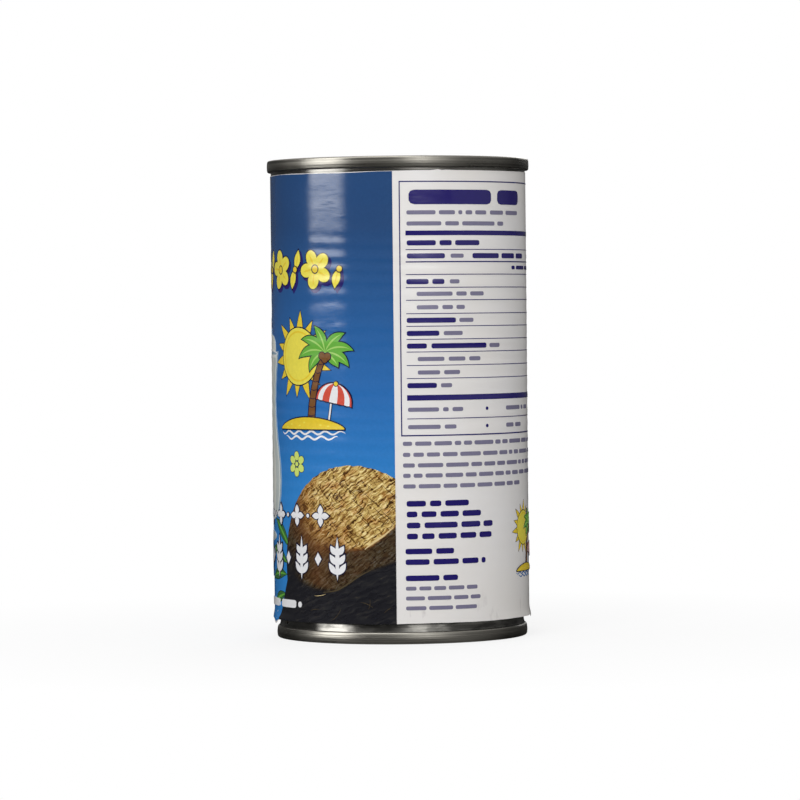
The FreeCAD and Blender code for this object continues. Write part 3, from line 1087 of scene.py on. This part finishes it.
GLASS_SIDE = np.array([  # height, half width
    (0.0, 2.6), (1.2, 8.8), (3.4, 11.6), (7.0, 13.1), (11.5, 13.6), (16.5, 12.9), (22.0, 11.2),
    (28.0, 9.8), (33.0, 9.7), (38.0, 10.6), (42.0, 11.7), (44.0, 12.1)])


def glass(plate, s, z, scale, number):
    """A tall curved glass of white drink on a short foot, with foam, fruit, a berry and a straw."""
    side = through(GLASS_SIDE, 90)

    def at(x, y):
        return s + x * scale, z + y * scale

    def disc(x, y, half_x, half_y):
        return *at(x, y), half_x * scale, half_y * scale

    def band(low, high, left, right, step, grow=0.0):
        """From left to right, as shares of the half width that GLASS_SIDE gives at each height."""
        steps = steps_for((high - low) * scale, 0.7)
        y = np.linspace(low - grow / scale, high + grow / scale, steps)
        half = np.interp(y, *side.T) * scale
        share = np.linspace(left, right, steps_for((right - left) * 12 * scale, 1.0))[:, None]
        reach = half * share + grow * np.sign(share) * (np.abs(share) > 0.98)
        return s + reach, z + y * scale + 0 * reach, layer(number + step)

    straw = through([at(-2.5, 40), at(-4.6, 49), at(-6.6, 57.5)], 24)
    plate.rimmed("white", 0.25, number, ribbon, *straw.T, 0.75 * scale)
    for mark in range(3, 23, 4):
        plate.add("red", ribbon(*straw[mark:mark + 3].T, 0.75 * scale, layer(number + 2)))
    for foam in ((-6.5, 45.2, 4.4, 3.0), (5.4, 45.3, 4.8, 3.2), (-0.5, 46.6, 5.6, 3.8)):
        plate.rimmed("cream", 0.16, number + 3, oval, *disc(*foam), rim_key="shade")
    plate.rimmed("red", 0.24, number + 5, oval, *disc(-1.5, 50.6, 2.3, 2.3))
    plate.add("white", oval(*disc(-2.2, 51.4, 0.55, 0.75), layer(number + 7)))
    plate.rimmed("glass_grey", 0.16, number + 3, oval, *disc(0, -3.6, 8.6, 1.5), rim_key="shade")
    stem = np.linspace(-3.4, 1.5, 7)
    plate.add("glass_grey", ribbon(s + 0 * stem, z + stem * scale, 1.5 * scale, layer(number + 5)))
    plate.add("shade", band(0, 44, -1, 1, 6, 0.28))
    plate.add("cream", band(0.6, 43.4, -0.965, 0.965, 7))
    plate.add("glass_grey", band(3, 42.6, 0.70, 0.93, 8), band(3, 42.6, -0.93, -0.80, 8))
    plate.add("white", band(5, 41.5, -0.62, -0.40, 8))
    plate.add("white", hoop(*disc(0, 43.6, 12.0, 1.15), 0.45 * scale, layer(number + 9)))
    fruit = *at(-9.0, 42.5), 118, 12.5 * scale, 3.4 * scale, -14
    plate.rimmed("yellow", 0.26, number + 10, blade, *fruit, blunt=True)
    rind = *at(-9.6, 43.6), 118, 10.0 * scale, 0.55 * scale, -12
    plate.add("gold", blade(*rind, layer(number + 12)))


class CAN_OT_drink(bpy.types.Operator):
    """Print the tall white drink in the middle of the blue panel"""

    bl_idname = "can.drink"
    bl_label = "Tall drink"

    def execute(self, context):
        plate = Plate("drink")
        glass(plate, -53.1, 30.2, 1.0, 0)
        plate.press()
        return {"FINISHED"}


# ---------------------------------------------------------------- coconuts


NUT_S, NUT_Z, NUT_WIDE, NUT_TALL = -13.0, 20.0, 23.3, 25.4
RIM_LINE = np.array([
    (-42.0, 9.5), (-30.0, 16.5), (-24.0, 21.0), (-20.0, 23.2), (-15.3, 24.0), (-12.7, 24.3),
    (-10.2, 24.5), (-7.7, 25.2), (-5.3, 27.0), (-2.9, 29.0), (-1.0, 30.4)])
FOLD_LINE = np.array([
    (-42.0, 22.0), (-34.0, 18.0), (-28.0, 15.6), (-24.0, 14.2), (-19.5, 13.6), (-16.5, 13.9),
    (-14.0, 15.3), (-12.0, 16.8), (-9.5, 18.6), (-7.0, 19.2), (-4.5, 20.0), (-1.0, 21.4)])


def nut_half(s):
    """Share of the coconut's height at s: the root of 1 - x^2, x being s over its half width."""
    x = np.clip((s - NUT_S) / NUT_WIDE, -1, 1)
    return np.sqrt(1 - x * x)


def nut_head(s):
    """Upper edge of the whole coconut: its ellipse, ragged with fibre."""
    ragged = 0.16 * np.sin(7.1 * s) * np.sin(2.3 * s + 1) + 0.09 * np.sin(17 * s)
    return NUT_Z + NUT_TALL * nut_half(s) + ragged * nut_half(s) + 0.02


def nut_foot(s):
    """Lower edge of the whole coconut: its ellipse, cut off by the paper's foot."""
    return np.maximum(label_foot(s) + 0.01, NUT_Z - NUT_TALL * nut_half(s))


def nut_tone(s, z):
    """Light on the coconut: full at the upper right, less to the left and under rim and fold."""
    rim = np.interp(s, *RIM_LINE.T)
    fold = np.interp(s, *FOLD_LINE.T)
    left = 0.25 + 0.75 * ease((s + 34) / 15)
    falling = 0.12 + 0.88 * ease((z - 17.5) / 20)
    upper = left * (1 - (1 - falling) * ease((-9 - s) / 10))
    middle = 0.11 + 0.04 * bump_at(s, -11, 3.5) + 0.09 * ease((-s - 14) / 10)
    soft = 0.9 + 0.9 * ease((-s - 5) / 4) + 4.4 * ease((-s - 12) / 8)
    lit = middle + (upper - middle) * ease((z - rim) / soft + 0.5)
    return lit * ease((z - fold) / (1.4 + 2.0 * ease((-s - 20) / 8)) + 0.5)


def husk():
    """Coconut husk: fibres crossing over dark gaps, browner and then black as the tone falls."""
    material, tree, shader = new_shader("coconut_husk")
    light = node(tree, "Attribute", attribute_name="tone").outputs["Fac"]
    warp = node(tree, "TexNoise", {"Vector": placed(tree, (12, 12, 12), "UV")}, Detail=1.0)
    flat = placed(tree, source="UV")
    bent = worked_vector(
        tree, "MULTIPLY_ADD", warp.outputs["Color"], (0.013, 0.013, 0), flat)["Vector"]

    def fibres(angle, across, along, detail):
        askew = node(tree, "Mapping", {"Vector": bent}, Rotation=(0, 0, math.radians(-angle)))
        askew = askew.outputs["Vector"]
        lined = node(tree, "Mapping", {"Vector": askew}, Scale=(along, across, 1))
        return noise_at(tree, lined.outputs["Vector"], detail, 0.55)

    cut = ranged(tree, fibres(-46, 150, 24, 1.0), -0.11, 0.01, 0.34, 0.44)
    fine = ranged(tree, fibres(30, 430, 110, 1.0), -0.05, 0.05, 0.35, 0.65)
    both = worked(tree, "ADD", worked(tree, "ADD", fibres(36, 210, 36, 2.0), cut), fine)
    fibre = ramp(tree, both, [
        (0.32, tone(62, 40, 20)), (0.41, tone(128, 92, 46)), (0.49, tone(190, 156, 88)),
        (0.57, tone(218, 190, 118)), (0.66, tone(246, 228, 170))])
    rust = ranged(tree, noise(tree, (36, 36, 36), detail=3, source="UV"), 0, 0.55, 0.5, 0.68)
    warm = mixed(tree, rust, fibre, tone(206, 138, 72), "MULTIPLY")
    lit = ramp(tree, light, [
        (0.0, (0.03, 0.03, 0.04)), (0.12, (0.13, 0.135, 0.21)), (0.3, (0.31, 0.225, 0.23)),
        (0.6, (0.74, 0.6, 0.5)), (1.0, (1.0, 1.0, 0.96))])
    shares = (0.1, 0.25), (0.2, 0.5), (0.32, 0.6), (0.6, 0.0)
    flatter = ramp(tree, light, [(place, (share,) * 3) for place, share in shares])
    soft = mixed(tree, flatter, warm, tone(178, 136, 80))
    black = ranged(tree, light, 1, 0, 0.0, 0.1)
    scratched = ramp(tree, fibres(20, 120, 22, 3.0), [
        (0.4, tone(29, 29, 34)), (0.55, tone(36, 36, 40)), (0.66, tone(46, 45, 46)),
        (0.74, tone(72, 66, 56))])
    shown = mixed(tree, black, mixed(tree, 1.0, soft, lit, "MULTIPLY"), scratched)
    tree.links.new(shown, shader.inputs["Base Color"])
    varnish(tree, shader)
    return material


def strands(random, count, aims, number):
    """Thin fibres at random spots in the lit part of the husk, each a bent blade."""
    s, z = random.uniform(-34, -2.5, count), random.uniform(17, 45, count)
    inside = ((s - NUT_S) / NUT_WIDE) ** 2 + ((z - NUT_Z) / NUT_TALL) ** 2 < 0.8
    made = []
    for place in np.stack([s, z], axis=-1)[inside & (nut_tone(s, z) > 0.42)]:
        aim = random.choice(aims) + random.normal(0, 7)
        reach, half = random.uniform(0.8, 1.8), random.uniform(0.04, 0.08)
        made.append(blade(*place, aim, reach, half, random.normal(0, 26), layer(number)))
    return [patch for patch in made if patch[0].max() < PANEL_EDGE - 0.1]


CRACKS = (  # s, z, reach
    (-9.5, 38.6, 6.5), (-7.2, 35.0, 6.0), (-12.8, 37.2, 5.4), (-4.8, 40.6, 5.0), (-5.2, 34.2, 4.6),
    (-15.2, 41.0, 5.0), (-10.6, 32.4, 4.4))
SCRATCHES = (  # s, z, aim, reach, bend
    (-19.0, 5.9, 25, 4.4, 46), (-10.8, 10.8, -6, 3.8, -34), (-8.6, 9.0, 62, 2.8, 40),
    (-22.8, 8.6, 170, 3.2, 36), (-4.6, 8.0, 50, 2.6, -30), (-12.6, 19.6, 34, 4.2, 14),
    (-6.6, 22.6, 36, 3.6, 10), (-9.6, 21.0, 30, 3.0, 12))
EDGES = (  # ink, points, steps, least and added half width
    ("straw", ((-9.4, 24.2), (-7.4, 25.8), (-4.6, 27.6), (-1.9, 29.8)), 16, 0.06, 0.2),
    ("amber", ((-21.5, 13.0), (-17.6, 13.6), (-14.5, 15.1), (-10.9, 17.4), (-7.0, 19.4)),
     26, 0.05, 0.16))


class CAN_OT_coconut(bpy.types.Operator):
    """Print the whole coconut on the blue panel, with its fibres, and the dark ground under it"""

    bl_idname = "can.coconut"
    bl_label = "Whole coconut"

    def execute(self, context):
        ground = Plate("ground")
        edge = PANEL_EDGE + 0.02
        ground.add("shadow", between(
            lambda s: label_foot(s) + 0.01, lambda s: 5.6 + 13.5 * ease((s + 42) / 9),
            np.linspace(-41.6, edge, 60), layer(3), 22))
        ground.press()
        across = NUT_S - NUT_WIDE * np.cos(np.linspace(0.02, math.pi, 74))
        across = np.append(across[across < PANEL_EDGE], edge)
        patch = between(nut_foot, nut_head, across, layer(4), 66)
        finish_piece(skin("coconut_husk", [patch], husk(), marks={"tone": nut_tone}), "label_paper")

        random = np.random.default_rng(23)
        fibres = Plate("fibres")
        fibres.add("straw", *strands(random, 150, (36, 34), 5))
        fibres.add("gap", *strands(random, 110, (36, 36, -46), 6))
        fibres.add("gap", *[blade(s, z, -47, reach, 0.07, 12, layer(6)) for s, z, reach in CRACKS])
        for ink_key, points, steps, least, added in EDGES:
            half = least + added * np.sin(np.linspace(0.1, 3.1, steps))
            fibres.add(ink_key, ribbon(*through(points, steps).T, half, layer(6)))
        for *start, reach, bend in SCRATCHES:
            fibres.add("amber", blade(*start, reach, 0.045, bend, layer(6)))
        fibres.add("straw", blade(-24.4, 12.1, -4, 3.8, 0.06, 24, layer(6)))
        fibres.press()
        return {"FINISHED"}


LEAVES = (  # s, z, aim, reach, half width, bend
    (-36.0, 20.0, 150, 12.5, 1.5, 26), (-36.5, 17.0, 172, 12.0, 1.4, 30),
    (-35.0, 24.0, 128, 12.0, 1.4, 30), (-37.0, 12.0, 188, 10.0, 1.3, 18),
    (-76.0, 26.0, 70, 13.0, 1.6, -34), (-78.0, 26.0, 96, 14.0, 1.6, -20),
    (-84.0, 27.0, 118, 14.5, 1.7, 18), (-92.0, 27.0, 132, 12.5, 1.6, 28),
    (-97.0, 22.0, 150, 7.0, 1.3, 30), (-74.0, 22.0, 44, 11.0, 1.5, -34))
FLESH = (  # ink, shift right and up, half width and height, from the shell inwards
    ("shell", 0.4, 0.5, 14.6, 11.2), ("cream", 0.5, 0.8, 13.6, 10.1),
    ("glass_grey", 0.9, 0.2, 9.9, 6.7), ("cream", 1.6, -0.8, 8.0, 5.0))


class CAN_OT_open_nut(bpy.types.Operator):
    """Print the opened coconut at the left of the drink, and the palm leaves behind both nuts"""

    bl_idname = "can.open_nut"
    bl_label = "Opened coconut and leaves"

    def execute(self, context):
        plate = Plate("leaves")
        for s, z, aim, reach, half, bend in LEAVES:
            leaf = s, z, aim, reach, half, bend
            plate.rimmed("leaf_dark", 0.18, 0, blade, *leaf, rim_key="leaf_shade")
            plate.add("green", blade(s, z, aim, reach * 0.9, half * 0.22, bend * 0.9, layer(2)))
        plate.press()
        plate = Plate("open_nut")
        s, z = -86.5, 21.0
        plate.rimmed("brown", 0.3, 2, oval, s, z, 15.6, 12.4)
        for number, (ink_key, right, up, half_s, half_z) in enumerate(FLESH, 4):
            plate.add(ink_key, oval(s + right, z + up, half_s, half_z, layer(number)))
        plate.press()
        return {"FINISHED"}


# ---------------------------------------------------------------- white border


class CAN_OT_border(bpy.types.Operator):
    """Print the white leaves, lozenges and dots over the foot of the blue panel"""

    bl_idname = "can.border"
    bl_label = "White border"

    def execute(self, context):
        plate = Plate("border")
        number = 10
        for place in range(6):
            s = -17.0 - 12.0 * place
            plate.rimmed("white", 0.26, number, blade, s, 16.2, 90, 10.9, 0.62, 0)
            for step in (0.6, 3.1, 5.6):
                for aim, bend in ((40, 22), (140, -22)):
                    leaf = s, 17.0 + step, aim, 4.0 - 0.16 * step, 0.78, bend
                    plate.rimmed("white", 0.26, number, blade, *leaf)
            if place < 5:
                plate.rimmed("white", 0.26, number, diamond, s - 6.0, 21.5, 1.1, 1.7)
        height = 32.5
        for place in range(8):
            s = -22.1 - 8.7 * place
            for aim in (0, 90, 180, 270):
                plate.rimmed("white", 0.24, number, blade, s, height, aim, 2.75, 0.82, 0)
            plate.add("white", oval(s, height, 0.62, 0.62, layer(number + 2)))
            if place < 7:
                plate.rimmed("white", 0.24, number, oval, s - 4.35, height, 0.5, 0.5)
        height = 9.6
        for s0, s1 in ((-39.4, -31.6), (-52.0, -41.2), (-66.5, -54.0)):
            plate.add("white", word(s0, s1, height, 2.0, layer(number)))
        for s in (-29.9, -68.2):
            plate.add("white", oval(s, height, 0.75, 0.75, layer(number)))
        plate.press()
        return {"FINISHED"}


# ---------------------------------------------------------------- studio


def aimed(thing, place, target, roll=0.0):
    """Put a camera or lamp at place, looking at target."""
    away = np.array(place, float) - np.array(target, float)
    away /= np.linalg.norm(away)
    side = np.cross([0, 0, 1], away)
    side /= np.linalg.norm(side)
    up = np.cross(away, side)
    turn = Matrix(np.stack([side, up, away], axis=1).tolist()).to_4x4()
    thing.matrix_world = Matrix.Translation(place) @ turn @ Matrix.Rotation(roll, 4, "Z")


def area_lamp(name, place, power):
    """A lamp 1.2 m wide and 0.9 m high that looks at the can's middle."""
    lamp = bpy.data.lights.new(name, "AREA")
    lamp.shape = "RECTANGLE"
    lamp.size, lamp.size_y, lamp.energy = 1.2, 0.9, power
    thing = bpy.data.objects.new(name, lamp)
    bpy.context.scene.collection.objects.link(thing)
    aimed(thing, place, (0, 0, 0.06))
    thing.visible_camera = False
    return thing


def make_world(fill):
    """White to the camera and in reflections, and a soft even fill for diffuse light."""
    world = bpy.data.worlds.new("studio")
    bpy.context.scene.world = world
    world.use_nodes = True
    tree = world.node_tree
    background = tree.nodes["Background"]
    rays = node(tree, "LightPath").outputs
    seen = worked(tree, "MAXIMUM", rays["Is Camera Ray"], rays["Is Glossy Ray"])
    clear = worked(tree, "MAXIMUM", seen, rays["Is Transmission Ray"])
    tree.links.new(ranged(tree, clear, fill, 1.0), background.inputs["Strength"])
    background.inputs["Color"].default_value = (1, 1, 1, 1)


def make_floor(grey, pool):
    """A pale floor: white to the camera but for the can's shadow, which fades with the distance.

    Reflections see it as grey, as they would the far end of a table, and paler by pool just in
    front of the can.
    """
    side = 6000
    corners = [(-side, -side, 0), (side, -side, 0), (side, side, 0), (-side, side, 0)]
    material, tree, shader = new_shader("floor", Roughness=1.0, Specular_IOR_Level=0.0)
    rays = node(tree, "LightPath").outputs
    seen = rays["Is Camera Ray"]
    tree.links.new(mixed(tree, seen, (0.55,) * 3, (0.95,) * 3), shader.inputs["Base Color"])
    place = placed(tree)
    away = worked_vector(tree, "LENGTH", place)["Value"]
    share = worked(tree, "MULTIPLY", ranged(tree, away, 0.78, 1.0, 0.04, 0.17), seen)
    white = node(tree, "Emission", Strength=1.0)
    shown = node(tree, "MixShader", {0: share, 1: shader.outputs[0], 2: white.outputs[0]})
    near = ranged(tree, away, pool, 0, 0.05, 0.09)
    ahead = ranged(tree, parts_of(tree, place)["Y"], 1, 0, -0.03, -0.018)
    dim = node(tree, "Emission", {"Strength": worked(tree, "MULTIPLY_ADD", near, ahead, grey)})
    glossy = rays["Is Glossy Ray"]
    lit = node(tree, "MixShader", {0: glossy, 1: shown.outputs[0], 2: dim.outputs[0]})
    tree.links.new(lit.outputs[0], tree.nodes["Material Output"].inputs["Surface"])
    write_mesh("floor", corners, [(0, 1, 2, 3)], material)


def bare_material(name):
    """A material with no nodes yet."""
    material = bpy.data.materials.new(name)
    material.use_nodes = True
    material.node_tree.nodes.clear()
    return material, material.node_tree


def stage_glow(name, points, faces, material, power):
    """Stage faces that glow with the given power, for reflections alone to see."""
    glow = node(material.node_tree, "Emission", {"Strength": power})
    node(material.node_tree, "OutputMaterial", {"Surface": glow.outputs[0]})
    thing = write_mesh(name, points, faces, material)
    for ray in ("camera", "diffuse", "transmission", "shadow", "volume_scatter"):
        setattr(thing, f"visible_{ray}", False)


def make_walls(grey, back_grey, glow_right):
    """Studio walls that only reflections see, for the metal to show.

    They are dark at the can's height, darkest behind it, paler by glow_right at the right, and
    white overhead.
    """
    radius, low, high, count = 2400, -300, 1700, 96
    index = np.arange(count)
    after = np.roll(index, -1)
    angle = index / count * TURN
    ring = np.stack([radius * np.cos(angle), radius * np.sin(angle)], axis=-1)
    points = np.vstack([np.c_[ring, np.full(count, low)], np.c_[ring, np.full(count, high)]])
    faces = np.stack([index, after, after + count, index + count], axis=-1).tolist()
    material, tree = bare_material("studio_wall_paint")
    place = parts_of(tree, placed(tree))
    dark = ranged(tree, place["Y"], grey, back_grey, -1.2, 1.2)
    rightward = worked_vector(tree, "DOT_PRODUCT", placed(tree), (0.94, -0.34, 0))["Value"]
    paler = ranged(tree, rightward, 0, glow_right, 1.5, 2.35)
    dark = worked(tree, "MULTIPLY_ADD", paler, ranged(tree, place["Z"], 1, 0, 0.3, 0.8), dark)
    level = node(tree, "Mix", {0: ranged(tree, place["Z"], 0, 1, 0.8, 1.7), 2: dark, 3: 1.0})
    stage_glow("studio_walls", points, faces, material, level.outputs[0])


def soft_box(name, azimuth, elevation, distance, width, low, high, radiance, fade):
    """A soft box that only reflections see: bright in its middle, dimming over fade at its edges.

    It stands square to its direction from the can's foot: azimuth from the front to the right, and
    elevation up, in degrees. low and high are measured up its own face. All else is metres.
    """
    a, e = math.radians(azimuth), math.radians(elevation)
    across = np.array([math.cos(a), math.sin(a), 0])
    outward = np.array([math.sin(a) * math.cos(e), -math.cos(a) * math.cos(e), math.sin(e)])
    upward = np.array([-math.sin(a) * math.sin(e), math.cos(a) * math.sin(e), math.cos(e)])
    left, right = -width / 2 - fade[0] / 2, width / 2 + fade[1] / 2
    low, high = low - fade[2] / 2, high + fade[3] / 2
    corners = [(left, low), (right, low), (right, high), (left, high)]
    points = [(distance * outward + x * across + z * upward) / MM for x, z in corners]
    material, tree = bare_material(name)
    place = placed(tree)
    x = worked_vector(tree, "DOT_PRODUCT", place, across)["Value"]
    z = worked_vector(tree, "DOT_PRODUCT", place, upward)["Value"]
    power = ranged(tree, x, 0, 1, left, left + fade[0])
    for rise in (
            ranged(tree, x, 1, 0, right - fade[1], right),
            ranged(tree, z, 0, 1, low, low + fade[2]),
            ranged(tree, z, radiance, 0, high - fade[3], high)):
        power = worked(tree, "MULTIPLY", power, rise)
    stage_glow(name, points, [(0, 1, 2, 3)], material, power)


class CAN_OT_studio(bpy.types.Operator):
    """Set the camera, the lamps, the floor and the background"""

    bl_idname = "can.studio"
    bl_label = "Plain studio"

    def execute(self, context):
        studio = settings("can_studio")
        scene = context.scene
        scene.view_settings.view_transform = "Standard"
        camera = bpy.data.objects.new("camera", bpy.data.cameras.new("camera"))
        scene.collection.objects.link(camera)
        camera.data.lens = studio.lens
        camera.data.clip_end = 50
        aimed(camera, (0.0, -studio.distance, studio.height), (0.0, 0.0, studio.aim), -studio.roll)
        scene.camera = camera
        make_world(studio.fill)
        make_floor(0.02, 0.24)
        make_walls(0.16, 0.07, 0.24)
        area_lamp("key", (-0.42, -1.5, 0.82), studio.key).visible_glossy = False
        area_lamp("back_lamp", (0.35, 1.5, 0.8), studio.back)
        left_fade, front_fade = (0.14, 0.17, 0.05, 0.002), (0.4, 0.6, 0.12, 0.002)
        soft_box("side_box", -67.5, 0, 1.02, 0.62, 0.122, 1.0, studio.strip, left_fade)
        soft_box("front_box", 21, 0, 1.2, 0.62, 0.2, 0.9, studio.card, front_fade)
        soft_box("top_card", -12, 60, 1.2, 1.2, -0.35, 0.35, studio.over, (0.3,) * 4)
        return {"FINISHED"}


# ---------------------------------------------------------------- add-on


OPERATORS = (
    CAN_OT_metal, CAN_OT_label, CAN_OT_facts, CAN_OT_small_print, CAN_OT_recipe,
    CAN_OT_garland, CAN_OT_island, CAN_OT_blossom, CAN_OT_drink, CAN_OT_coconut,
    CAN_OT_open_nut, CAN_OT_border, CAN_OT_studio)
GROUPS = {
    "can_metal": CanMetal,
    "can_label": CanLabel,
    "can_inks": CanInks,
    "can_studio": CanStudio,
}


class CAN_PT_panel(bpy.types.Panel):
    """Every piece of the can and its studio"""

    bl_idname = "CAN_PT_panel"
    bl_label = "Can"
    bl_space_type = "VIEW_3D"
    bl_region_type = "UI"
    bl_category = "Can"

    def draw(self, context):
        for operator in OPERATORS:
            self.layout.operator(operator.bl_idname)
        for group, kind in GROUPS.items():
            box = self.layout.box()
            box.label(text=kind.__doc__)
            for name in kind.__annotations__:
                box.prop(getattr(context.scene, group), name)


def register():
    for kind in (*GROUPS.values(), *OPERATORS, CAN_PT_panel):
        bpy.utils.register_class(kind)
    for group, kind in GROUPS.items():
        setattr(bpy.types.Scene, group, bpy.props.PointerProperty(type=kind))


def unregister():
    for group in GROUPS:
        delattr(bpy.types.Scene, group)
    for kind in reversed((*GROUPS.values(), *OPERATORS, CAN_PT_panel)):
        bpy.utils.unregister_class(kind)


def main():
    register()
    bpy.ops.can.metal()
    bpy.ops.can.label()
    bpy.ops.can.facts()
    bpy.ops.can.small_print()
    bpy.ops.can.recipe()
    bpy.ops.can.garland()
    bpy.ops.can.island()
    bpy.ops.can.blossom()
    bpy.ops.can.drink()
    bpy.ops.can.coconut()
    bpy.ops.can.open_nut()
    bpy.ops.can.border()
    bpy.ops.can.studio()


if __name__ == "__main__":
    main()
